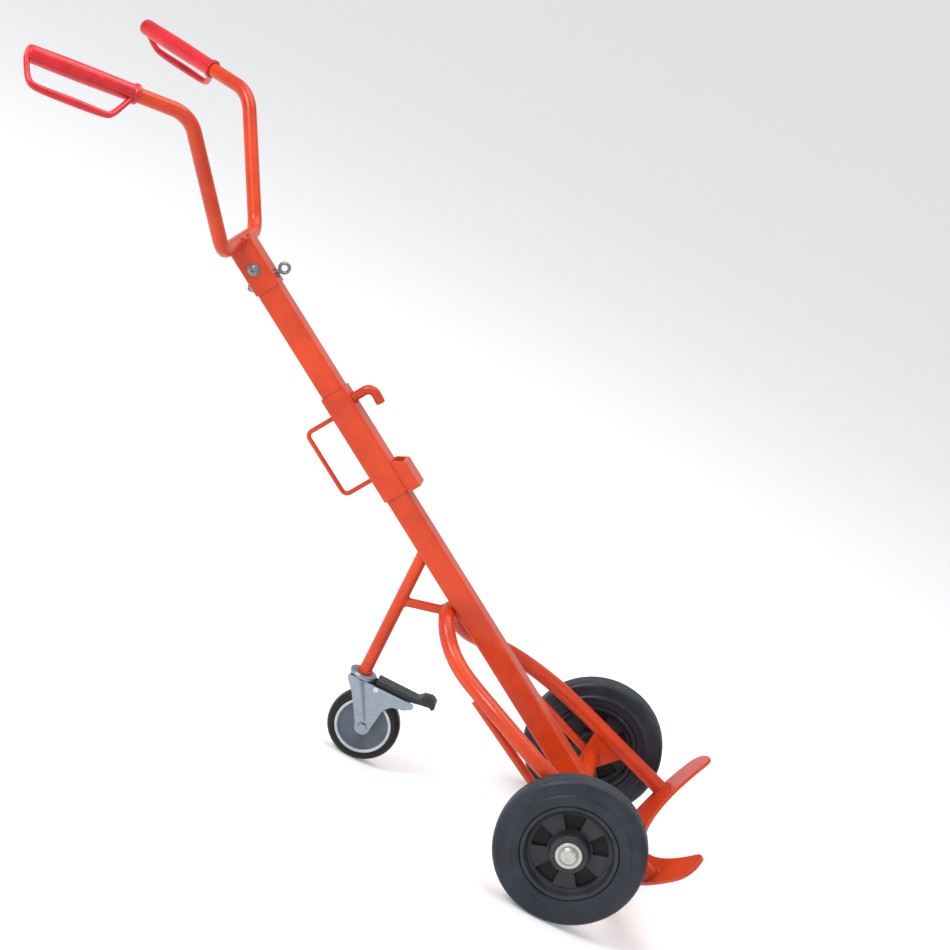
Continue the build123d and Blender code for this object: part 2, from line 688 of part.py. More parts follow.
CORE_RADIUS = 47
core = caster_ring(
    [(6 + RUNNING, 17.5), (12, 17.5), (15, 11), (36, 9), (40, 14), (CORE_RADIUS, 14)]
)
write(core, "caster_wheel_core")
caster_tyre = caster_ring(
    [(CORE_RADIUS, 14), (50, 15.5), (57, 14.5), (60.5, 11.5), (CASTER_RADIUS, 6)]
)
write(caster_tyre, "caster_tyre")

# ---- caster brake ----
PEDAL_TIP = 64
PEDAL_Z = PEDAL_PIVOT_Z + 14.5
PEDAL_WALL = 2.5
with BuildPart() as brake_pedal:
    with BuildSketch(Plane(origin=(WHEEL_X, 0, CASTER_RADIUS + PEDAL_Z - PEDAL_WALL))):
        with Locations(((PEDAL_TIP - 12) / 2, 0)):
            Rectangle(PEDAL_TIP + 12, 30)
    extrude(amount=PEDAL_WALL)
    for cheek_y in (-15, 12.5):
        with BuildSketch(CASTER_SECTION.offset(cheek_y)):
            with BuildLine():
                Polyline(
                    (-12, PEDAL_Z - 1), (-12, 68), (-4, 67), (30, 72), (PEDAL_TIP, 78), (PEDAL_TIP, PEDAL_Z - 1),
                    close=True,
                )
            make_face()
        extrude(amount=PEDAL_WALL)
    with BuildSketch(CASTER_SECTION) as pad:
        with BuildLine():
            Polyline(
                (PEDAL_TIP - 6, 82), (PEDAL_TIP - 2, 86), (71, 94), (84, 97), (94, 92), (96, 84), (93, 79), (87, 82),
                (PEDAL_TIP, 78), close=True,
            )
        make_face()
        fillet(pad.vertices().sort_by(Axis.X)[-5:], 2)
    extrude(amount=14, both=True)
    with BuildSketch(CASTER_SECTION):
        with Locations((PEDAL_PIVOT_X, PEDAL_PIVOT_Z)):
            Circle(2.5 + RUNNING)
    extrude(amount=40, both=True, mode=Mode.SUBTRACT)
write(brake_pedal, "brake_pedal")

with BuildPart() as pedal_pin:
    with BuildSketch(CASTER_SECTION.offset(-(FORK_IN + FORK_THICK + 1.5))):
        with Locations((PEDAL_PIVOT_X, PEDAL_PIVOT_Z)):
            Circle(2.5)
    extrude(amount=2 * (FORK_IN + FORK_THICK + 1.5))
    for side in (1, -1):
        with BuildSketch(CASTER_SECTION.offset(side * (FORK_IN + FORK_THICK))):
            with Locations((PEDAL_PIVOT_X, PEDAL_PIVOT_Z)):
                Circle(4.5)
        extrude(amount=side * 1.5)
write(pedal_pin, "pedal_pin")

with BuildPart() as brake_shoe:
    with BuildSketch(CASTER_SECTION.offset(-12)):
        with BuildLine():
            Polyline((18, 63.8), (31, 60.5), (31, PEDAL_Z - PEDAL_WALL), (18, PEDAL_Z - PEDAL_WALL), close=True)
        make_face()
    extrude(amount=24)
write(brake_shoe, "brake_shoe")
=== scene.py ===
# %% [markdown]
# # A drum dolly, dressed for its portrait
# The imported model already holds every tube, plate, bolt and wheel in its right place, in metres.
# This lesson keeps the plain welded parts, swaps the moulded and turned ones for finer meshes,
# lays weld beads where tubes meet, and gives everything a finish. The model could be drawn again
# from nothing, but building round the fixed frame keeps every size and every joint true.

import json
import math

import bmesh
import bpy
from mathutils import Matrix, Vector


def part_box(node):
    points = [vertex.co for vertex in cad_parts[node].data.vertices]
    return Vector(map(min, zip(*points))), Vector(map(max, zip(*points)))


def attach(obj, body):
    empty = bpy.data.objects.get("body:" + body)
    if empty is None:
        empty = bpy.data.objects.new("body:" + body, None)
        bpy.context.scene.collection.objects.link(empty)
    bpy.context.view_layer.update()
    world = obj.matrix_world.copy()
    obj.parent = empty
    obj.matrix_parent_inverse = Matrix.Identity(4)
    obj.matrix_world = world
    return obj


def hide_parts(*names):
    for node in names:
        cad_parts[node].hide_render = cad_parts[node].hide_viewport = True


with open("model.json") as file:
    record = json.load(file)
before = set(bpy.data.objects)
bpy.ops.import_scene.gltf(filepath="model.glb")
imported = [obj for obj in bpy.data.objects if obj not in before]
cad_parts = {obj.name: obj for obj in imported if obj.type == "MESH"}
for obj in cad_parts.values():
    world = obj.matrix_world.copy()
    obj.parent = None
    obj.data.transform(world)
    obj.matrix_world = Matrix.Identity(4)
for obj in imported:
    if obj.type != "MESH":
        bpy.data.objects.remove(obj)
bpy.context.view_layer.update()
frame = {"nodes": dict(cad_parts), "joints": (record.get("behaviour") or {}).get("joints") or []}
MM = 0.001

# %% [markdown]
# ## Where things are
# The mast leans back, so most places are easiest to say in the mast's own directions: t forwards
# across it, y sideways and s up along it, in millimetres from the wheel axle. The direction comes
# from the hook's slide joint, and the axle's place from its box, so nothing is measured twice.

# %% Directions along the mast
joints = {joint["name"]: joint for joint in frame["joints"]}
mast_up = Vector(joints["hook_slide"]["axis"]).normalized()
mast_front = Vector((mast_up.z, 0, -mast_up.x))
side_way = Vector((0, 1, 0))
forward = Vector((1, 0, 0))
upward = Vector((0, 0, 1))


def middle(node):
    """The centre of a node's box."""
    low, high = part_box(node)
    return (low + high) / 2


axle_centre = middle("axle")


def on_mast(t, y, s):
    """The point at (t, y, s) millimetres from the axle, in the mast's directions."""
    return axle_centre + (mast_front * t + side_way * y + mast_up * s) * MM


print("mast leans", round(math.degrees(math.acos(mast_up.z)), 1), "degrees")

# %% [markdown]
# ## From bmesh to a finished piece
# Every new piece goes through one function: it merges doubles, turns the faces outwards, shades
# smoothly except at sharp edges, and says which body the piece rides on and which plain node it
# stands for.

# %% Piece helpers
SMOOTH_BELOW = math.radians(35)
made = {}


def finish_piece(name, bm, body, stands_for=()):
    """Make an object from a bmesh and tie it to the frame."""
    bmesh.ops.remove_doubles(bm, verts=bm.verts, dist=2e-6)
    bmesh.ops.recalc_face_normals(bm, faces=bm.faces)
    mesh = bpy.data.meshes.new(name)
    bm.to_mesh(mesh)
    bm.free()
    mesh.polygons.foreach_set("use_smooth", [True] * len(mesh.polygons))
    mesh.set_sharp_from_angle(angle=SMOOTH_BELOW)
    piece = bpy.data.objects.new(name, mesh)
    bpy.context.scene.collection.objects.link(piece)
    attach(piece, body)
    if stands_for:
        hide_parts(*stands_for)
    made[name] = piece
    print(name, len(mesh.polygons), "faces on", body)
    return piece


def spin_profile(bm, profile, centre, axis, outward, steps=96, closed=True):
    """Spin (radius, along) points in millimetres about an axis; an open profile ends on the axis."""
    verts = [bm.verts.new(centre + (outward * r + axis * w) * MM) for r, w in profile]
    pairs = list(zip(verts, verts[1:]))
    if closed:
        pairs.append((verts[-1], verts[0]))
    edges = [bm.edges.new(pair) for pair in pairs]
    bmesh.ops.spin(
        bm, geom=verts + edges, cent=centre, axis=axis, angle=math.tau, steps=steps, use_merge=True
    )
    bmesh.ops.remove_doubles(bm, verts=bm.verts, dist=2e-6)


def soften(bm, width, sharper_than=28, segments=2):
    """Round off every edge that turns by more than an angle."""
    sharp = [e for e in bm.edges if e.is_manifold and e.calc_face_angle(0) > math.radians(sharper_than)]
    bmesh.ops.bevel(
        bm, geom=sharp, offset=width * MM, offset_type="OFFSET", segments=segments, profile=0.5,
        affect="EDGES", material=-1, clamp_overlap=True,
    )


# %% [markdown]
# ## Tyres
# A solid rubber tyre is moulded in two halves: flat tread, rounded shoulders, a raised ring half
# way up the side wall and a thin seam round the middle. Turning one profile about the axle gives
# all of that exactly, and a bevel rounds the corners as the mould does.

# %% Spin the tyres
WHEELS = {"left": 1, "right": -1}
TYRE_SIDE = [
    (80, 18), (81, 21.5), (84, 23), (92, 23.4), (94.5, 24.8), (98, 24.8), (100.5, 22.6), (104, 22),
    (113, 22.4), (118.5, 21.6), (122.6, 18.5), (124.6, 13.5), (125, 9), (125, 1.1), (124.3, 0.4),
]


def both_faces(half):
    """A profile given for one face, followed by its mirror image for the other."""
    return half + [(r, -w) for r, w in reversed(half)]


for side in WHEELS:
    bm = bmesh.new()
    spin_profile(bm, both_faces(TYRE_SIDE), middle(f"{side}_tyre"), side_way, forward, steps=144)
    soften(bm, 0.7, sharper_than=20)
    finish_piece(f"{side}_tyre_moulding", bm, f"{side}_wheel", [f"{side}_tyre"])

# %% [markdown]
# ## Rims
# The rim is one black moulding: a barrel with a rolled lip, a hub, and a web between them with
# five windows. The web is spun flat in three-degree steps, the faces in the windows are deleted,
# an inset sinks the spokes between raised borders, and its edges are drawn in to the middle plane,
# where a mirrored copy makes the other face. A thin sheet in that plane closes the windows; it is
# painted near-black, darker than the rim, as painted shade inside them.

# %% Mould the rims
BARREL_SIDE = [
    (80, 18.5), (79.3, 20.4), (77.5, 21), (74.5, 21), (73, 20.2), (70.5, 15.5), (67.5, 10.5), (64, 9),
]
HUB_SIDE = [(15, 27), (28, 27), (30.5, 26), (32.6, 22.5), (33.6, 16), (34.5, 9)]
WEB_RADII = [33, 36.5, 49, 62.5, 67]
WEB_FACE = 8.5
WINDOW_SHADE_DISC = [(34, 1.2), (65, 1.2), (65, -1.2), (34, -1.2)]
WEB_STEPS = 120
WINDOWS = 5
WINDOW_FIRST = 35
WINDOW_HALF = 18
SPOKE_BORDER = 2.2
SPOKE_SINK = 1.6


def in_window(angle, radius):
    """True where the web is open: a fifth of a turn repeats the same window."""
    turn = 360 / WINDOWS
    from_middle = (angle - WINDOW_FIRST + turn / 2) % turn - turn / 2
    return abs(from_middle) < WINDOW_HALF and WEB_RADII[1] < radius < WEB_RADII[3]


for side in WHEELS:
    centre = middle(f"{side}_rim")
    bm = bmesh.new()
    for half in (BARREL_SIDE, HUB_SIDE):
        spin_profile(bm, both_faces(half), centre, side_way, forward, steps=WEB_STEPS)
    soften(bm, 0.5, sharper_than=20)
    web = bmesh.new()
    flat = [(r, WEB_FACE) for r in WEB_RADII]
    spin_profile(web, flat, centre, side_way, forward, steps=WEB_STEPS, closed=False)
    open_faces = []
    for face in web.faces:
        spot = (face.calc_center_median() - centre) / MM
        if in_window(math.degrees(math.atan2(spot.z, spot.x)), math.hypot(spot.x, spot.z)):
            open_faces.append(face)
    bmesh.ops.delete(web, geom=open_faces, context="FACES")
    sunk = bmesh.ops.inset_region(web, faces=web.faces, thickness=SPOKE_BORDER * MM, use_even_offset=True)
    borders = set(sunk["faces"])
    panel_verts = {v for f in web.faces if f not in borders for v in f.verts}
    bmesh.ops.translate(web, verts=list(panel_verts), vec=Vector((0, -SPOKE_SINK * MM, 0)))
    skirt = bmesh.ops.extrude_edge_only(web, edges=[e for e in web.edges if e.is_boundary])
    for vert in (v for v in skirt["geom"] if isinstance(v, bmesh.types.BMVert)):
        vert.co.y = centre.y
    whole = web.verts[:] + web.edges[:] + web.faces[:]
    copied = bmesh.ops.duplicate(web, geom=whole)
    for vert in (v for v in copied["geom"] if isinstance(v, bmesh.types.BMVert)):
        vert.co.y = 2 * centre.y - vert.co.y
    spare = bpy.data.meshes.new("web_whole")
    web.to_mesh(spare)
    web.free()
    bm.from_mesh(spare)
    bpy.data.meshes.remove(spare)
    finish_piece(f"{side}_rim_moulding", bm, f"{side}_wheel", [f"{side}_rim"])
    # A near-black sheet in the middle plane: painted shade inside the windows.
    bm = bmesh.new()
    spin_profile(bm, WINDOW_SHADE_DISC, centre, side_way, forward, steps=WEB_STEPS)
    finish_piece(f"{side}_rim_window_shade", bm, f"{side}_wheel")

# %% [markdown]
# ## Hub caps and washers
# Each axle end carries a plated washer and a pressed push-on cap. The cap is a thin dome with a
# turned brim, so one profile from the brim to the pole makes it.

# %% Press the hub caps
CAP_DOME = [
    (10.1, 0.05), (14.6, 0.05), (15, 0.5), (13.9, 1.3), (13.2, 3.6), (11.2, 5.2), (7, 5.7), (5.6, 5.2),
    (0, 5.1),
]
CAP_INSIDE = [(0, 3.6), (10.1, 3.6)]
CAP_LIFT = 2.5
WASHER = [(10.1, 0), (22, 0), (22, 1.5), (21.2, 2.45), (16.6, 2.5), (15.8, 1.9), (10.1, 1.9)]
for side, sign in WHEELS.items():
    outward = side_way * sign
    washer_low, washer_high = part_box(f"{side}_outer_washer")
    seat = middle(f"{side}_outer_washer") - outward * (washer_high.y - washer_low.y) / 2
    bm = bmesh.new()
    spin_profile(bm, WASHER, seat, outward, forward)
    soften(bm, 0.3)
    finish_piece(f"{side}_washer_plated", bm, "frame", [f"{side}_outer_washer"])
    bm = bmesh.new()
    spin_profile(bm, CAP_INSIDE + CAP_DOME, seat + outward * CAP_LIFT * MM, outward, forward, closed=False)
    soften(bm, 0.35)
    finish_piece(f"{side}_cap_pressed", bm, "frame", [f"{side}_axle_cap"])

# %% [markdown]
# ## Grips with hand guards
# A grip is a soft moulded sleeve: a collar where it meets the tube, a swell for the palm and a
# rounded end. It is spun about the arm. The guard in front of the knuckles is a bar that follows
# a few points and is fattest in its middle; a curve with its own radius at each point is the
# shortest way to say that, and it becomes mesh before it joins the sleeve.

# %% Mould the grips
SPLAY = math.radians(30)
GRIP_SKIN = [
    (0, 176), (12.05, 176), (12.05, 0), (15.6, 0), (16.5, 1), (16.5, 6), (15.6, 7.4), (14.3, 8.6), (14.1, 14),
    (14.4, 40), (14.9, 90), (14.7, 130), (14.1, 160), (14.2, 174), (13.2, 179.4), (10, 182.4), (0, 183),
]
GUARD_ROUTE = [
    (6, 0.12), (14, 0.32), (38, 0.95), (50, 1.02), (100, 1.0), (160, 1.0), (174, 0.9), (180, 0.45),
    (181, 0.16),
]
GUARD_FATNESS = [0.95, 0.85, 0.95, 1.05, 1.3, 1.15, 0.95, 0.85, 0.95]
GUARD_BAR = 5.3
GUARD_OUT = 46
GUARD_DOWN = 36


def grip_ways(sign):
    """The direction along one grip and the direction across it, level with the floor."""
    along = Vector((-math.cos(SPLAY), sign * math.sin(SPLAY), 0))
    across = Vector((math.sin(SPLAY), sign * math.cos(SPLAY), 0))
    return along, across


def bar_mesh(name, points, radius, fatness, closed=False, order=3):
    """A round bar through points as a mesh, with its own thickness at each point."""
    curve = bpy.data.curves.new(name, "CURVE")
    curve.dimensions = "3D"
    curve.bevel_depth = radius * MM
    curve.bevel_resolution = 4
    curve.use_fill_caps = True
    curve.resolution_u = 8
    spline = curve.splines.new("NURBS")
    spline.points.add(len(points) - 1)
    for knot, place, fat in zip(spline.points, points, fatness):
        knot.co = (*place, 1)
        knot.radius = fat
    spline.use_endpoint_u = not closed
    spline.use_cyclic_u = closed
    spline.order_u = order
    holder = bpy.data.objects.new(name, curve)
    mesh = bpy.data.meshes.new_from_object(holder)
    bpy.data.objects.remove(holder)
    bpy.data.curves.remove(curve)
    return mesh


# The upper bend's corner, back from the axle, out from the middle and above the floor.
HANDLE_CORNER = (-1042, 216, 906)
GRIP_START = 90
for side, sign in WHEELS.items():
    along, across = grip_ways(sign)
    back, out, height = HANDLE_CORNER
    corner = Vector((axle_centre.x + back * MM, sign * out * MM, height * MM))
    start = corner + along * GRIP_START * MM
    bm = bmesh.new()
    spin_profile(bm, GRIP_SKIN, start, along, upward, steps=48, closed=False)
    soften(bm, 0.4, sharper_than=30)
    guard_side = (across * GUARD_OUT - Vector((0, 0, GUARD_DOWN))) * MM
    route = [start + along * run * MM + guard_side * share for run, share in GUARD_ROUTE]
    guard = bar_mesh("guard", route, GUARD_BAR, GUARD_FATNESS)
    bm.from_mesh(guard)
    bpy.data.meshes.remove(guard)
    finish_piece(f"{side}_grip_moulding", bm, "frame", [f"{side}_grip"])

# %% [markdown]
# ## Caster wheel
# The small wheel has a black rubber tread on a grey-blue plastic disc, with a pale ring where the
# two meet. Each is its own turned piece, so the ring can have its own finish.

# %% Turn the caster wheel
CASTER_TREAD = [(47.5, 12), (48.8, 14.6), (51, 15.4), (56.5, 14.9), (60.2, 12.2), (62, 8.5), (62.5, 4.5)]
CASTER_DISC = [
    (6.05, 17.5), (10.5, 17.5), (12, 16.8), (13.4, 13), (15.5, 11.4), (26, 10.8), (36, 10.6), (41, 11.8),
    (44, 13), (47.4, 12.6),
]
PALE_RING = [(43.4, 12.6), (43.8, 14.3), (45.2, 15.4), (47.6, 15.5), (48.7, 14.2), (48.7, 12.6)]
caster_hub = middle("caster_tyre")
for name, half, slot, stands_for in (
    ("caster_tread", CASTER_TREAD, "caster_rubber", ["caster_tyre"]),
    ("caster_disc", CASTER_DISC, "caster_grey", ["caster_wheel_core"]),
):
    bm = bmesh.new()
    spin_profile(bm, both_faces(half), caster_hub, side_way, forward, steps=96)
    soften(bm, 0.5, sharper_than=18)
    finish_piece(name, bm, "caster_wheel", stands_for)
bm = bmesh.new()
for face_way in (1, -1):
    ring = [(r, w * face_way) for r, w in PALE_RING]
    spin_profile(bm, ring, caster_hub, side_way, forward, steps=96)
soften(bm, 0.4, sharper_than=25)
finish_piece("caster_pale_ring", bm, "caster_wheel")

# %% [markdown]
# ## Caster head and fork
# The head is a pressed cup that hides the ball race, with the stem above it and the riveted
# kingpin below. The fork keeps its flat cheeks from the frame and gains the pressed shoulders that
# run from the race down to the wheel bolt: a slanted cone, cut off flush with each cheek.

# %% Press the head and the fork's shoulders
HEAD_PROFILE = [
    (0, 36), (5.5, 36), (6, 35), (6, 0.4), (9, 0.4), (19, 0.2), (22.6, -0.8), (24, -2.6), (24.3, -7.2),
    (23.4, -7.6), (22, -7), (21.8, -3.6), (8, -3.2), (5, -3.4), (5, -12.4), (8, -12.4), (8, -15), (7, -15.4),
    (0, -15.4),
]
HEAD_TOP_Z = 0.147
swivel_line = Vector(joints["caster_swivel_turn"]["pos_m"])
plate_top = Vector((swivel_line.x, 0, HEAD_TOP_Z))
bm = bmesh.new()
spin_profile(bm, HEAD_PROFILE, plate_top, upward, forward, closed=False)
soften(bm, 0.5, sharper_than=30)
finish_piece("caster_head_pressed", bm, "frame", ["caster_head"])

FORK_FACE = 19.2
SHOULDER_TOP = 22.6
SHOULDER_FOOT = 5
FOOT_PLACE = (-3, 17.6, 13)
CROWN_Z = 0.1378
bm = bmesh.new()
for sign in WHEELS.values():
    top_place = Matrix.Translation((swivel_line.x, 0, CROWN_Z))
    foot_centre = caster_hub + Vector((FOOT_PLACE[0], sign * FOOT_PLACE[1], FOOT_PLACE[2])) * MM
    rings = []
    for place, radius in ((top_place, SHOULDER_TOP), (Matrix.Translation(foot_centre), SHOULDER_FOOT)):
        ring = bmesh.ops.create_circle(bm, segments=48, radius=radius * MM, cap_ends=True, matrix=place)
        rings.append({e for v in ring["verts"] for e in v.link_edges})
    bmesh.ops.bridge_loops(bm, edges=list(rings[0] | rings[1]))
    cone = {v for edges in rings for e in edges for v in e.verts}
    geometry = list(cone)
    geometry += [e for e in bm.edges if e.verts[0] in cone]
    geometry += [f for f in bm.faces if f.verts[0] in cone]
    cheek = (0, sign * FORK_FACE * MM, 0)
    bmesh.ops.bisect_plane(
        bm, geom=geometry, dist=1e-6, plane_co=cheek, plane_no=(0, sign, 0), clear_inner=True
    )
    bmesh.ops.holes_fill(bm, edges=[e for e in bm.edges if e.is_boundary], sides=0)
soften(bm, 0.5, sharper_than=30)
finish_piece("fork_shoulders", bm, "caster_swivel")

# %% [markdown]
# ## Brake pad ribs
# The pedal's pad is cross-ribbed so that a boot doesn't slip. Four small bars are enough, and
# each is a stretched cube with its edges rounded off.

# %% Add the pedal ribs
bm = bmesh.new()
PAD_RIBS = [(70.5, 94), (76.5, 95.7), (82.5, 97), (88.5, 95.3)]
RIB_SIZE = (2.4, 25, 2.2)
for run, rise in PAD_RIBS:
    place = Matrix.Translation(caster_hub + Vector((run, 0, rise)) * MM)
    bmesh.ops.create_cube(bm, size=MM, matrix=place @ Matrix.Diagonal((*RIB_SIZE, 1)))
soften(bm, 0.6)
finish_piece("pedal_ribs", bm, "brake")

# %% [markdown]
# ## The cross bolt and the socket's top
# A button-head bolt with a washer holds the handle socket to the mast. Above it, a small plate
# closes the socket under the crossbar.

# %% Turn the bolt and close the socket
SOCKET_FACE = 22.5
BOLT_S = 1043
BOLT_HEAD = [
    (0, 3.4), (3.1, 3.4), (3.3, 6.4), (4.4, 6.9), (6.6, 6.2), (8.4, 4.6), (8.9, 2.6), (8.6, 1.6), (5, 1.6),
    (5, -56), (4.2, -57), (0, -57),
]
BOLT_WASHER = [(5.1, 0.05), (10.6, 0.05), (10.8, 0.8), (10.3, 1.6), (5.1, 1.6)]
BOLT_T = 4
bolt_seat = on_mast(BOLT_T, -SOCKET_FACE, BOLT_S)
bm = bmesh.new()
spin_profile(bm, BOLT_HEAD, bolt_seat, -side_way, mast_up, steps=48, closed=False)
spin_profile(bm, BOLT_WASHER, bolt_seat, -side_way, mast_up, steps=48)
soften(bm, 0.25)
finish_piece("button_bolt", bm, "frame", ["socket_bolt"])

mast_turn = Matrix((mast_front, side_way, mast_up)).transposed().to_4x4()
TOP_PLATE_SIZE = (40, 40, 4)
TOP_PLATE_T, TOP_PLATE_S = 5, 1088
bm = bmesh.new()
place = Matrix.Translation(on_mast(TOP_PLATE_T, 0, TOP_PLATE_S)) @ mast_turn
bmesh.ops.create_cube(bm, size=MM, matrix=place @ Matrix.Diagonal((*TOP_PLATE_SIZE, 1)))
soften(bm, 1.5, segments=3)
finish_piece("socket_top_plate", bm, "frame")

# %% [markdown]
# ## Weld beads
# Where one tube is welded to another, the bead runs round the line in which their surfaces meet.
# That line is found by sliding a point along each side of the tube until it touches the other
# surface. The bead itself is a thin bar along the line whose thickness rises and falls, which
# reads as the ripples that a welder leaves.

# %% Find the seams
RIPPLE_PITCH = 2.6
SAMPLES_PER_RIPPLE = 4


def side_ways(ahead):
    """Two directions square to a direction and to each other."""
    first = ahead.orthogonal().normalized()
    return first, ahead.cross(first).normalized()


def ring_on_plane(start, ahead, radius, point, normal, count=60):
    """The line in which a round bar meets a flat face."""
    first, second = side_ways(ahead)
    loop = []
    for step in range(count):
        turn = math.tau * step / count
        side = start + (first * math.cos(turn) + second * math.sin(turn)) * radius * MM
        loop.append(side + ahead * ((point - side).dot(normal) / ahead.dot(normal)))
    return loop


def ring_on_bar(start, ahead, radius, other, other_ahead, other_radius, count=60):
    """The line in which a round bar meets another round bar that it runs into."""
    first, second = side_ways(ahead)
    flat_ahead = ahead - other_ahead * ahead.dot(other_ahead)
    loop = []
    for step in range(count):
        turn = math.tau * step / count
        side = start + (first * math.cos(turn) + second * math.sin(turn)) * radius * MM
        away = side - other
        away -= other_ahead * away.dot(other_ahead)
        a, b = flat_ahead.dot(flat_ahead), 2 * away.dot(flat_ahead)
        c = away.dot(away) - (other_radius * MM) ** 2
        inside = max(b * b - 4 * a * c, 0)
        loop.append(side + ahead * ((-b - math.sqrt(inside)) / (2 * a)))
    return loop


def straight(start, end):
    """A straight seam, as its two ends."""
    return [start, end]


def ripple(loop, closed):
    """The points of a seam at an even spacing, with the bead's thickness at each."""
    ends = list(zip(loop, loop[1:] + loop[:1])) if closed else list(zip(loop, loop[1:]))
    length = sum((b - a).length for a, b in ends)
    ripples = max(3, round(length / (RIPPLE_PITCH * MM)))
    count = ripples * SAMPLES_PER_RIPPLE
    points, fatness = [], []
    walked, index = 0.0, 0
    for step in range(count if closed else count + 1):
        target = length * step / count
        while index < len(ends) - 1 and walked + (ends[index][1] - ends[index][0]).length < target:
            walked += (ends[index][1] - ends[index][0]).length
            index += 1
        a, b = ends[index]
        share = (target - walked) / max((b - a).length, 1e-9)
        points.append(a.lerp(b, min(max(share, 0), 1)))
        wave = (step % SAMPLES_PER_RIPPLE) / SAMPLES_PER_RIPPLE
        fatness.append(1.08 - 0.42 * wave + 0.06 * math.sin(step * 0.7))
    return points, fatness


def lay_beads(name, seams, body, stands_for=()):
    """One piece holding every bead of a body: each seam is (loop, size in mm, closed)."""
    bm = bmesh.new()
    for loop, size, closed in seams:
        points, fatness = ripple(loop, closed)
        bead = bar_mesh(name, points, size, fatness, closed=closed, order=2)
        bm.from_mesh(bead)
        bpy.data.meshes.remove(bead)
    return finish_piece(name, bm, body, stands_for)


# %% [markdown]
# The frame's beads: the crossbar on its socket, the leg, its struts and the caster's leg on the
# mast, the axle tube through the mast, and the toe plate under everything.

# %% Weld the frame
HALF_MAST = 20
MAST_BACK = -15
BAR = {"handle": 12, "leg": 14, "strut": 7.5, "axle": 14, "caster_leg": 11, "brace": 8}
CROSSBAR_T, CROSSBAR_S = 3, 1094
frame_seams = []


def seam(loop, size, closed=True):
    """Note one seam of the frame: its line, the bead's radius in millimetres and if it is a ring."""
    frame_seams.append((loop, size, closed))


crossbar = on_mast(CROSSBAR_T, 0, CROSSBAR_S)
for sign in WHEELS.values():
    wall = on_mast(CROSSBAR_T, sign * SOCKET_FACE, CROSSBAR_S)
    whole = ring_on_plane(crossbar, side_way * sign, BAR["handle"] + 0.4, wall, side_way)
    under = [p for p in whole if (p - wall).dot(mast_up) < 4 * MM]
    under.sort(key=lambda p: math.atan2(-(p - wall).dot(mast_front), -(p - wall).dot(mast_up)))
    seam(under, 2.4, closed=False)
for t in (-9.2, 15.2):
    seam(straight(on_mast(t, -19, 1091), on_mast(t, 19, 1091)), 2.8, closed=False)
print("seams so far", len(frame_seams))

# %% [markdown]
# The caster's leg is welded under the mast and into the stem's socket, the leg hoop's apex lies
# across the mast's back, and the brace runs between the two.

# %% Weld the caster's leg, the hoop's apex and the brace
STEM_WELD_Z = 0.1505
APEX_S = 388
BRACE_FOOT_Z = 0.288
leg_line = Vector((swivel_line.x, 0, 0.3))
seam(ring_on_plane(leg_line, upward, BAR["caster_leg"], on_mast(MAST_BACK, 0, 0), mast_front), 2.4)
stem_face = Vector((0, 0, STEM_WELD_Z))
seam(ring_on_plane(leg_line, -upward, BAR["caster_leg"] + 0.4, stem_face, -upward), 1.9)
apex = on_mast(MAST_BACK - BAR["leg"], 0, APEX_S)
for s in (APEX_S - 8.5, APEX_S + 8.5):
    seam(straight(on_mast(MAST_BACK - 2, -17, s), on_mast(MAST_BACK - 2, 17, s)), 2.8, closed=False)
brace_foot = Vector((swivel_line.x, 0, BRACE_FOOT_Z))
brace_way = (apex - brace_foot).normalized()
brace_middle = (apex + brace_foot) / 2
seam(ring_on_bar(brace_middle, brace_way, BAR["brace"], apex, side_way, BAR["leg"]), 2)
seam(ring_on_bar(brace_middle, -brace_way, BAR["brace"], brace_foot, -upward, BAR["caster_leg"]), 2)
print("seams so far", len(frame_seams))

# %% [markdown]
# Low down, each side has the same seams: the strut on the axle tube and along the leg, the leg on
# the toe plate, the axle tube through its bracket and the mast, and the gusset behind the plate.

# %% Weld the axle, the legs and the toe plate
TOE_FACE = -117
LEG_BASE = (34, 198, 60)
LEG_END = (78, 198, TOE_FACE)
STRUT_TOP = (-34, 134, 262)
STRUT_FOOT = (-2, 202, 0)
BRACKET_FACES = (189.4, 196.6)
GUSSET_T = 1.6
axle_skin = BAR["axle"] + 0.5
for sign in WHEELS.values():
    strut_top, strut_foot, base, end = (
        on_mast(t, sign * y, s) for t, y, s in (STRUT_TOP, STRUT_FOOT, LEG_BASE, LEG_END)
    )
    strut_way = (strut_top - strut_foot).normalized()
    strut_start = strut_foot + strut_way * 40 * MM
    seam(ring_on_bar(strut_start, -strut_way, BAR["strut"], axle_centre, side_way, BAR["axle"]), 1.9)
    tip = strut_top + mast_front * MM
    near_tip = tip - strut_way * 2 * MM - mast_front * 6 * MM
    down_strut = tip - strut_way * 34 * MM - mast_front * 2 * MM
    seam(straight(near_tip, down_strut), 3, closed=False)
    toe_top = on_mast(0, 0, TOE_FACE + 0.6)
    seam(ring_on_plane(base, (end - base).normalized(), BAR["leg"] + 0.5, toe_top, mast_up), 2.6)
    for y in BRACKET_FACES:
        bracket = Vector((0, sign * y * MM, 0))
        seam(ring_on_plane(axle_centre, side_way * sign, axle_skin, bracket, side_way), 2)
    mast_side = Vector((0, sign * (HALF_MAST + 0.5) * MM, 0))
    seam(ring_on_plane(axle_centre, side_way * sign, axle_skin, mast_side, side_way), 2.2)
    inner_end = on_mast(GUSSET_T, sign * 34, TOE_FACE + 1)
    outer_end = on_mast(GUSSET_T, sign * 80, TOE_FACE + 1)
    seam(straight(inner_end, outer_end), 2.2, closed=False)
    low_end = on_mast(GUSSET_T, sign * 21, TOE_FACE + 8)
    high_end = on_mast(GUSSET_T, sign * 21, TOE_FACE + 72)
    seam(straight(low_end, high_end), 2.2, closed=False)
corners = ((-1, -1), (1, -1), (1, 1), (-1, 1))
seam([on_mast(5 + a * 20.5, b * 20.5, TOE_FACE + 0.8) for a, b in corners], 2.6)
lay_beads("frame_welds", frame_seams, "frame")

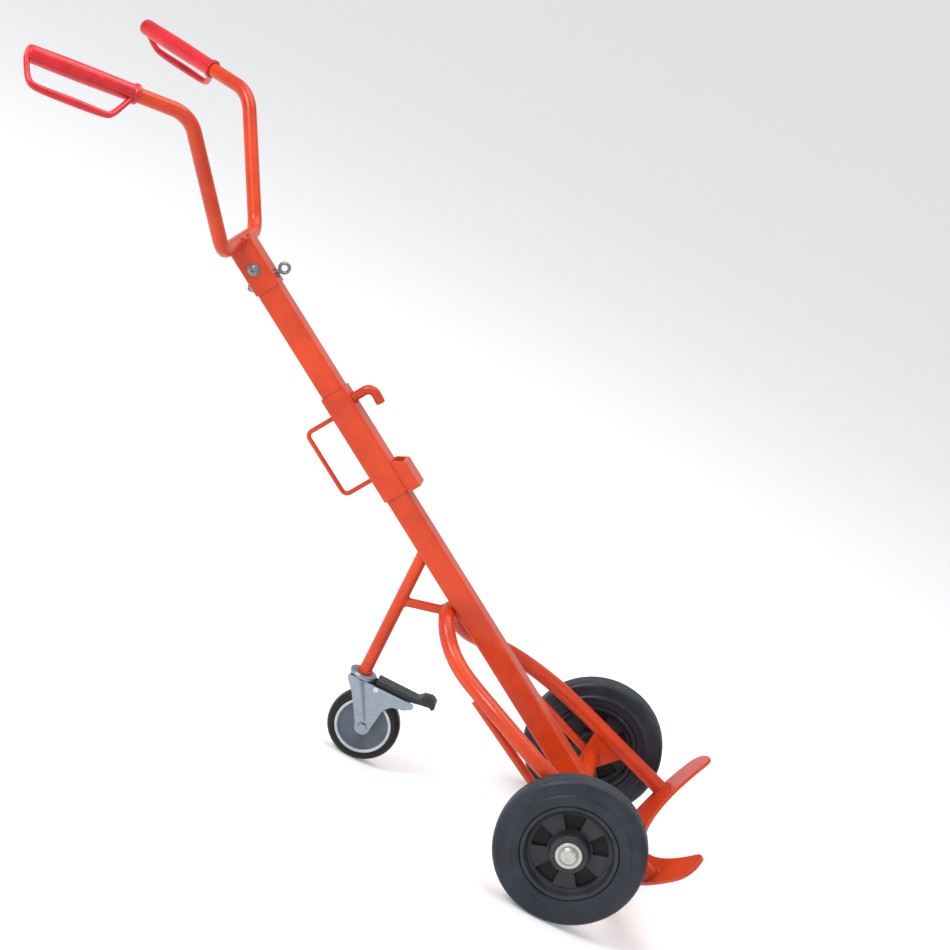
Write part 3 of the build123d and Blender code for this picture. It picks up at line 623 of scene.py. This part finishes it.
# %% [markdown]
# The carriage's beads: the hook, the two ends of the pull handle and the folded rest, all on the
# sliding sleeve. They slide with it.

# %% Weld the carriage
SLEEVE_FRONT = 28
SLEEVE_BACK = -18
HOOK_S = 779
PULL_ENDS_S = (645, 766)
hook_face = on_mast(SLEEVE_FRONT + 1, 0, 0)
pull_face = on_mast(SLEEVE_BACK - 0.4, 0, 0)
carriage_seams = [
    (ring_on_plane(on_mast(40, 0, HOOK_S), -mast_front, 8.6, hook_face, mast_front), 2.6, True),
]
for s in PULL_ENDS_S:
    pull_end = ring_on_plane(on_mast(-30, 0, s), mast_front, 4.3, pull_face, mast_front)
    carriage_seams.append((pull_end, 1.7, True))
for sign in WHEELS.values():
    low_end = on_mast(SLEEVE_FRONT + 0.4, sign * 21.6, 604)
    high_end = on_mast(SLEEVE_FRONT + 0.4, sign * 21.6, 655)
    carriage_seams.append((straight(low_end, high_end), 1.9, False))
lay_beads("carriage_welds", carriage_seams, "hook_carriage", stands_for=["hook_weld_collar"])

# %% [markdown]
# ## Writing finishes as expressions
# A finish is a little sum of noises and masks. Wiring nodes one by one hides that sum, so a socket
# is wrapped in a class that understands + - * and adds the Math nodes itself.

# %% A socket that can be added and multiplied


class Signal:
    """A node's output that can be used in arithmetic."""

    def __init__(self, finish, socket):
        self.finish, self.socket = finish, socket

    def __add__(self, other):
        return self.finish.math("ADD", self, other)

    def __sub__(self, other):
        return self.finish.math("SUBTRACT", self, other)

    def __rsub__(self, other):
        return self.finish.math("SUBTRACT", other, self)

    def __mul__(self, other):
        return self.finish.math("MULTIPLY", self, other)

    __radd__ = __add__
    __rmul__ = __mul__

    def clipped(self):
        """The same signal kept between 0 and 1."""
        return self.finish.node("ShaderNodeClamp", {}, {"Value": self})

    def above(self, edge, softness):
        """0 below an edge and 1 above it, with a soft step between."""
        return ((self - edge) * (1 / softness)).clipped()


class Finish:
    """A material being built up on object coordinates."""

    def __init__(self, name, **shader):
        self.material = bpy.data.materials.new(name)
        self.material.use_nodes = True
        self.tree = self.material.node_tree
        self.shader = self.tree.nodes["Principled BSDF"]
        for socket, value in shader.items():
            self.shader.inputs[socket.replace("_", " ")].default_value = value
        self.place = self.node("ShaderNodeTexCoord", {}, {}, "Object")

    def node(self, kind, settings, sockets, output=0):
        """Add any node: its settings first, then the values or links of its sockets."""
        made_node = self.tree.nodes.new(kind)
        for setting, value in settings.items():
            setattr(made_node, setting, value)
        for socket, value in sockets.items():
            if isinstance(value, Signal):
                self.tree.links.new(value.socket, made_node.inputs[socket])
            else:
                made_node.inputs[socket].default_value = value
        return Signal(self, made_node.outputs[output])

    def math(self, operation, first, second):
        return self.node("ShaderNodeMath", {"operation": operation}, {0: first, 1: second})

    def moved(self, centre=(0, 0, 0), turn=(0, 0, 0), scale=(1, 1, 1)):
        """Object coordinates shifted to a centre, then turned and scaled."""
        shifted = self.node(
            "ShaderNodeVectorMath", {"operation": "SUBTRACT"}, {0: self.place, 1: tuple(centre)}
        )
        return self.node("ShaderNodeMapping", {}, {"Vector": shifted, "Rotation": turn, "Scale": scale})

    def noise(self, scale, detail=3, where=None, roughness=0.55):
        sockets = {"Vector": where or self.place, "Scale": scale, "Detail": detail, "Roughness": roughness}
        return self.node("ShaderNodeTexNoise", {}, sockets)

    def cells(self, scale, output="Distance", feature="F1"):
        sockets = {"Vector": self.place, "Scale": scale}
        return self.node("ShaderNodeTexVoronoi", {"feature": feature}, sockets, output)

    def rings(self, centre, scale, distortion=0.0):
        """Fine rings about the wheel's axis, between 0 and 1."""
        settings = {"wave_type": "RINGS", "rings_direction": "Y"}
        sockets = {"Vector": self.moved(centre), "Scale": scale, "Distortion": distortion}
        return self.node("ShaderNodeTexWave", settings, sockets, "Fac")

    def height(self):
        """How far above the floor a point is, in metres."""
        return self.node("ShaderNodeSeparateXYZ", {}, {0: self.place}, "Z")

    def blend(self, factor, first, second):
        """A colour between two colours."""
        sockets = {0: factor, 6: self.colour(first), 7: self.colour(second)}
        return self.node("ShaderNodeMix", {"data_type": "RGBA"}, sockets, 2)

    def colour(self, value):
        return value if isinstance(value, Signal) else (*value, 1)

    def feed(self, socket, value):
        self.tree.links.new(value.socket, self.shader.inputs[socket])

    def bump(self, height, strength, distance=0.001):
        sockets = {"Strength": strength, "Distance": distance, "Height": height}
        relief = self.node("ShaderNodeBump", {}, sockets, "Normal")
        self.feed("Normal", relief)


def wear(finish, nodes=(), pieces=()):
    """Put a finish on plain nodes and on made pieces."""
    targets = [frame["nodes"][name] for name in nodes] + [made[name] for name in pieces]
    for target in targets:
        target.data.materials.clear()
        target.data.materials.append(finish.material)
    print(finish.material.name, "on", len(targets))


# %% [markdown]
# ## Orange paint
# The frame is sprayed a glossy vermilion orange over welded steel. Sprayed paint is never one
# flat colour: it is thinner and darker in places, has a faint orange-peel skin, and carries dust
# low down and small dark chips where it has been knocked. The mast gets an extra set of fine
# streaks along its length, where the sleeve has rubbed it.

# %% Mix the orange paint
ORANGE = (0.62, 0.05, 0.006)
DEEP_ORANGE = (0.46, 0.03, 0.004)
BRIGHT_ORANGE = (0.72, 0.072, 0.009)
PRIMER = (0.16, 0.05, 0.03)
DUST = (0.36, 0.27, 0.2)


def orange_paint(name, streaked=False, chips=0.785):
    paint = Finish(name, Roughness=0.3, Coat_Weight=0.14, Coat_Roughness=0.08, Specular_IOR_Level=0.3)
    patches = paint.noise(7, 4)
    body = paint.blend(patches.above(0.35, 0.3), DEEP_ORANGE, ORANGE)
    body = paint.blend(paint.noise(38, 2).above(0.55, 0.25) * 0.45, body, BRIGHT_ORANGE)
    rough = 0.24 + paint.noise(24, 3) * 0.16
    if streaked:
        along = paint.moved(axle_centre, (0, math.acos(mast_up.z), 0), (90, 90, 2.2))
        rub = paint.noise(1.6, 4, along).above(0.6, 0.14)
        body = paint.blend(rub * 0.28, body, DEEP_ORANGE)
        rough = rough + rub * 0.14
    low = (1 - paint.height() * 7).clipped()
    dust = low * paint.noise(55, 5).above(0.44, 0.3) * 0.4
    body = paint.blend(dust, body, DUST)
    chipped = paint.noise(150, 3, roughness=0.7).above(chips, 0.02)
    paint.feed("Base Color", paint.blend(chipped * 0.85, body, PRIMER))
    paint.feed("Roughness", (rough + dust * 0.6 + chipped * 0.3).clipped())
    peel = paint.noise(420, 2) + paint.noise(1300, 1) * 0.25 - chipped * 0.8
    paint.bump(peel, 0.1, 0.0004)
    return paint


FRAME_NODES = [
    "handle_tube", "handle_socket", "leg_hoop", "left_strut", "right_strut", "axle_tube", "left_axle_bracket",
    "right_axle_bracket", "toe_plate", "left_toe_gusset", "right_toe_gusset", "caster_leg", "caster_brace",
    "stem_socket", "drum_hook", "pull_handle", "drum_rest",
]
wear(orange_paint("sprayed_orange"), FRAME_NODES, ["socket_top_plate"])
wear(orange_paint("rubbed_orange", streaked=True), ["mast", "hook_sleeve"])
wear(orange_paint("bead_orange", chips=0.8), pieces=["frame_welds", "carriage_welds"])

# %% [markdown]
# ## Red grips
# The grips are dipped or moulded in a shiny cherry red plastic. A pebbled skin, scuffed pale in
# places and darker in the creases, is what tells plastic from paint.

# %% Mix the red plastic
plastic = Finish("cherry_grip", Roughness=0.35, Coat_Weight=0.15, Coat_Roughness=0.15, Specular_IOR_Level=0.4)
tone = plastic.noise(30, 4)
red = plastic.blend(tone.above(0.35, 0.3), (0.44, 0.005, 0.01), (0.62, 0.009, 0.018))
scuff = plastic.noise(140, 4).above(0.64, 0.1)
plastic.feed("Base Color", plastic.blend(scuff * 0.14, red, (0.7, 0.12, 0.11)))
plastic.feed("Roughness", 0.28 + tone * 0.14 + scuff * 0.2)
plastic.bump(plastic.cells(520) + plastic.noise(900, 2) * 0.3, 0.22, 0.0005)
wear(plastic, pieces=["left_grip_moulding", "right_grip_moulding"])

# %% [markdown]
# ## Tyre rubber
# Solid tyres are charcoal with patches of a lighter bluish tone: partly the rubber's own bloom, partly
# painted sheen standing in for its bluish highlights. Fine rings left by the mould run round the side wall,
# and the tread is greyer where it has rolled over dusty floors.

# %% Mix the rubber
for side in WHEELS:
    hub = middle(f"{side}_tyre")
    rubber = Finish(f"{side}_tyre_rubber", Roughness=0.5, Specular_IOR_Level=0.32)
    flat = {0: rubber.moved(hub), 1: (1, 0, 1)}
    from_hub = rubber.node("ShaderNodeVectorMath", {"operation": "MULTIPLY"}, flat)
    radius = rubber.node("ShaderNodeVectorMath", {"operation": "LENGTH"}, {0: from_hub}, "Value")
    # Patchy tone whose lighter bluish colour is painted sheen standing in for highlights, over the rubber's
    # own bloom.
    bloom_and_sheen = rubber.noise(22, 4)
    shade = rubber.blend(bloom_and_sheen.above(0.3, 0.4), (0.009, 0.011, 0.016), (0.021, 0.026, 0.04))
    rolled = radius.above(0.1215, 0.003) * rubber.noise(80, 5).above(0.38, 0.3)
    shade = rubber.blend(rolled * 0.4, shade, (0.08, 0.08, 0.082))
    speck = rubber.noise(420, 3).above(0.66, 0.08)
    rubber.feed("Base Color", rubber.blend(speck * 0.15, shade, (0.13, 0.135, 0.15)))
    rubber.feed("Roughness", (0.36 + bloom_and_sheen * 0.18 + rolled * 0.3).clipped())
    rubber.bump(rubber.rings(hub, 190) * 0.5 + rubber.noise(700, 2) * 0.4, 0.12, 0.0004)
    wear(rubber, pieces=[f"{side}_tyre_moulding"])

# %% [markdown]
# ## Black mouldings
# The rims, the mast's end plug and the caster's rubber are all black, but not alike: the rim is a
# fine-grained nylon with a low sheen, the plug is plain, and rubber is duller still.

# %% Mix the black plastics and the caster's rubber


def black_moulding(name, dark, light, rough, grain, coat=0.0):
    black = Finish(name, Roughness=rough, Coat_Weight=coat, Coat_Roughness=0.3, Specular_IOR_Level=0.3)
    cloud = black.noise(26, 4)
    shade = black.blend(cloud.above(0.32, 0.36), dark, light)
    dusty = black.noise(210, 4).above(0.62, 0.12)
    black.feed("Base Color", black.blend(dusty * 0.1, shade, (0.12, 0.12, 0.12)))
    black.feed("Roughness", (rough - 0.08 + cloud * 0.16 + dusty * 0.12).clipped())
    black.bump(black.noise(grain, 2), 0.16, 0.0004)
    return black


RIM_PIECES = [f"{side}_rim_moulding" for side in WHEELS]
wear(black_moulding("rim_nylon", (0.015, 0.016, 0.019), (0.034, 0.036, 0.043), 0.38, 800), pieces=RIM_PIECES)
WINDOW_SHADE_PIECES = [f"{side}_rim_window_shade" for side in WHEELS]
# The window sheets are painted near-black, far darker than the rim nylon: painted shade inside the windows.
wear(
    black_moulding("window_shadow", (0.002, 0.002, 0.0025), (0.005, 0.005, 0.006), 0.6, 600), pieces=WINDOW_SHADE_PIECES
)
wear(black_moulding("plug_black", (0.012, 0.012, 0.012), (0.028, 0.028, 0.028), 0.5, 600), ["mast_end_cap"])
wear(
    black_moulding("caster_rubber_black", (0.003, 0.003, 0.0035), (0.007, 0.0075, 0.009), 0.4, 500),
    ["brake_shoe"], ["caster_tread"],
)
wear(
    black_moulding("pedal_coat", (0.007, 0.008, 0.01), (0.017, 0.02, 0.025), 0.33, 420, 0.1),
    ["brake_pedal"], ["pedal_ribs"],
)

# %% [markdown]
# ## Plated steel
# Zinc plate is silver with a cold blue cast. Its crystals make a faint patchwork, and it dulls in
# smudges, so both its colour and its roughness follow the same cells. The turned steel of the
# axle and the balls is mixed the same way, only smoother.

# %% Mix the zinc and the turned steel


def plated(name, cold, warm, rough):
    zinc = Finish(name, Metallic=1.0, Roughness=rough)
    crystals = zinc.node("ShaderNodeSeparateColor", {}, {0: zinc.cells(260, "Color")}, 0)
    smudge = zinc.noise(45, 5)
    shade = zinc.blend(crystals * 0.25 + smudge * 0.5, cold, warm)
    grime = zinc.noise(120, 5).above(0.62, 0.14)
    zinc.feed("Base Color", zinc.blend(grime * 0.35, shade, (0.2, 0.19, 0.18)))
    zinc.feed("Roughness", (rough - 0.08 + crystals * 0.1 + smudge * 0.14 + grime * 0.2).clipped())
    zinc.bump(zinc.noise(380, 3) + crystals * 0.2, 0.12, 0.0003)
    return zinc


ZINC_NODES = [
    "socket_nut", "eye_bolt_nut", "left_inner_washer", "right_inner_washer", "caster_fork",
    "caster_bolt", "caster_nut",
]
ZINC_PIECES = ["caster_head_pressed", "fork_shoulders"]
wear(plated("cold_zinc", (0.2, 0.24, 0.29), (0.4, 0.45, 0.5), 0.34), ZINC_NODES, ZINC_PIECES)
wear(plated("dark_zinc", (0.14, 0.15, 0.17), (0.34, 0.35, 0.37), 0.36), ["eye_bolt"], ["button_bolt"])
HUB_PIECES = [f"{side}_{part}" for side in WHEELS for part in ("washer_plated", "cap_pressed")]
wear(plated("worn_zinc", (0.4, 0.39, 0.36), (0.62, 0.61, 0.57), 0.38), pieces=HUB_PIECES)
TURNED_NODES = ["axle", "pedal_pin", "caster_balls", "caster_spacer"]
wear(plated("turned_steel", (0.5, 0.5, 0.49), (0.7, 0.7, 0.69), 0.28), TURNED_NODES)

# %% [markdown]
# ## Nylon and caster plastics
# Bushes and glides are waxy cream nylon, which lets a little light in. The caster's disc is a
# grey-blue plastic and its ring a pale grey one.

# %% Mix the pale plastics


def pale_plastic(name, dark, light, rough, glow=0.0):
    resin = Finish(name, Roughness=rough, Subsurface_Weight=glow, Subsurface_Scale=0.004)
    cloud = resin.noise(34, 4)
    shade = resin.blend(cloud.above(0.3, 0.4), dark, light)
    grime = resin.noise(95, 5).above(0.6, 0.16)
    resin.feed("Base Color", resin.blend(grime * 0.3, shade, (0.13, 0.12, 0.11)))
    resin.feed("Roughness", (rough + cloud * 0.12 + grime * 0.15).clipped())
    resin.bump(resin.noise(620, 2), 0.1, 0.0003)
    return resin


NYLON_NODES = ["left_bush", "right_bush", "sleeve_glides"]
wear(pale_plastic("waxy_nylon", (0.6, 0.57, 0.5), (0.78, 0.76, 0.7), 0.38, 0.15), NYLON_NODES)
wear(pale_plastic("caster_blue_grey", (0.05, 0.065, 0.09), (0.085, 0.11, 0.15), 0.36), pieces=["caster_disc"])
wear(
    pale_plastic("caster_ring_grey", (0.4, 0.41, 0.45), (0.56, 0.57, 0.62), 0.34), pieces=["caster_pale_ring"]
)

# %% [markdown]
# ## The studio
# A pale floor and soft lights. The floor is large enough that its edge never shows and glows a
# little, so that it stays pale far away. Light comes from three round panels, the strongest high
# on the left for the long highlights down the tubes.

# %% Floor, lights and world
PALE = (0.9, 0.9, 0.9)
bm = bmesh.new()
bmesh.ops.create_grid(bm, x_segments=8, y_segments=8, size=400)
floor_mesh = bpy.data.meshes.new("studio_floor")
bm.to_mesh(floor_mesh)
bm.free()
floor = bpy.data.objects.new("studio_floor", floor_mesh)
bpy.context.scene.collection.objects.link(floor)
paper = Finish("studio_paper", Roughness=0.9, Emission_Color=(1, 1, 1, 1), Emission_Strength=0.2)
paper.feed("Base Color", paper.blend(paper.noise(3, 2) * 0.5, PALE, (0.87, 0.87, 0.87)))
floor.data.materials.append(paper.material)

LIGHTS = {
    "left_panel": ((-2.6, -2.4, 3.4), 1.8, 130),
    "right_panel": ((3.0, -2.2, 2.0), 1.6, 14),
    "top_panel": ((0.1, 0.4, 3.6), 2.8, 60),
}
look_at = Vector((0, 0, 0.45))
for name, (spot, size, watts) in LIGHTS.items():
    lamp = bpy.data.lights.new(name, "AREA")
    lamp.shape = "DISK"
    lamp.size = size
    lamp.energy = watts
    panel = bpy.data.objects.new(name, lamp)
    aim = (look_at - Vector(spot)).to_track_quat("-Z", "Y")
    panel.matrix_world = Matrix.Translation(spot) @ aim.to_matrix().to_4x4()
    bpy.context.scene.collection.objects.link(panel)

world = bpy.data.worlds.new("studio_air")
world.use_nodes = True
air = world.node_tree.nodes["Background"]
air.inputs["Color"].default_value = (0.95, 0.97, 1.0, 1)
air.inputs["Strength"].default_value = 0.64
bpy.context.scene.world = world
bpy.context.scene.view_settings.view_transform = "Standard"

# %% [markdown]
# ## The camera
# The dolly is seen from its right side and a little above, through a long lens, and the camera
# itself is rolled, so the floor seems to run downhill to the right.

# %% Place the camera
CAMERA_PLACE = (0.142, -3.9353, 1.6001)
AZIMUTH, ELEVATION, ROLL = 0.146, 15.057, 26.68
LENS = 93.4
eye = bpy.data.cameras.new("portrait_camera")
eye.lens = LENS
eye.sensor_width = 36
camera = bpy.data.objects.new("portrait_camera", eye)
around = Matrix.Rotation(math.radians(AZIMUTH), 4, "Z")
tilted = Matrix.Rotation(math.radians(90 - ELEVATION), 4, "X")
rolled = Matrix.Rotation(math.radians(ROLL), 4, "Z")
camera.matrix_world = Matrix.Translation(CAMERA_PLACE) @ around @ tilted @ rolled
bpy.context.scene.collection.objects.link(camera)
bpy.context.scene.camera = camera
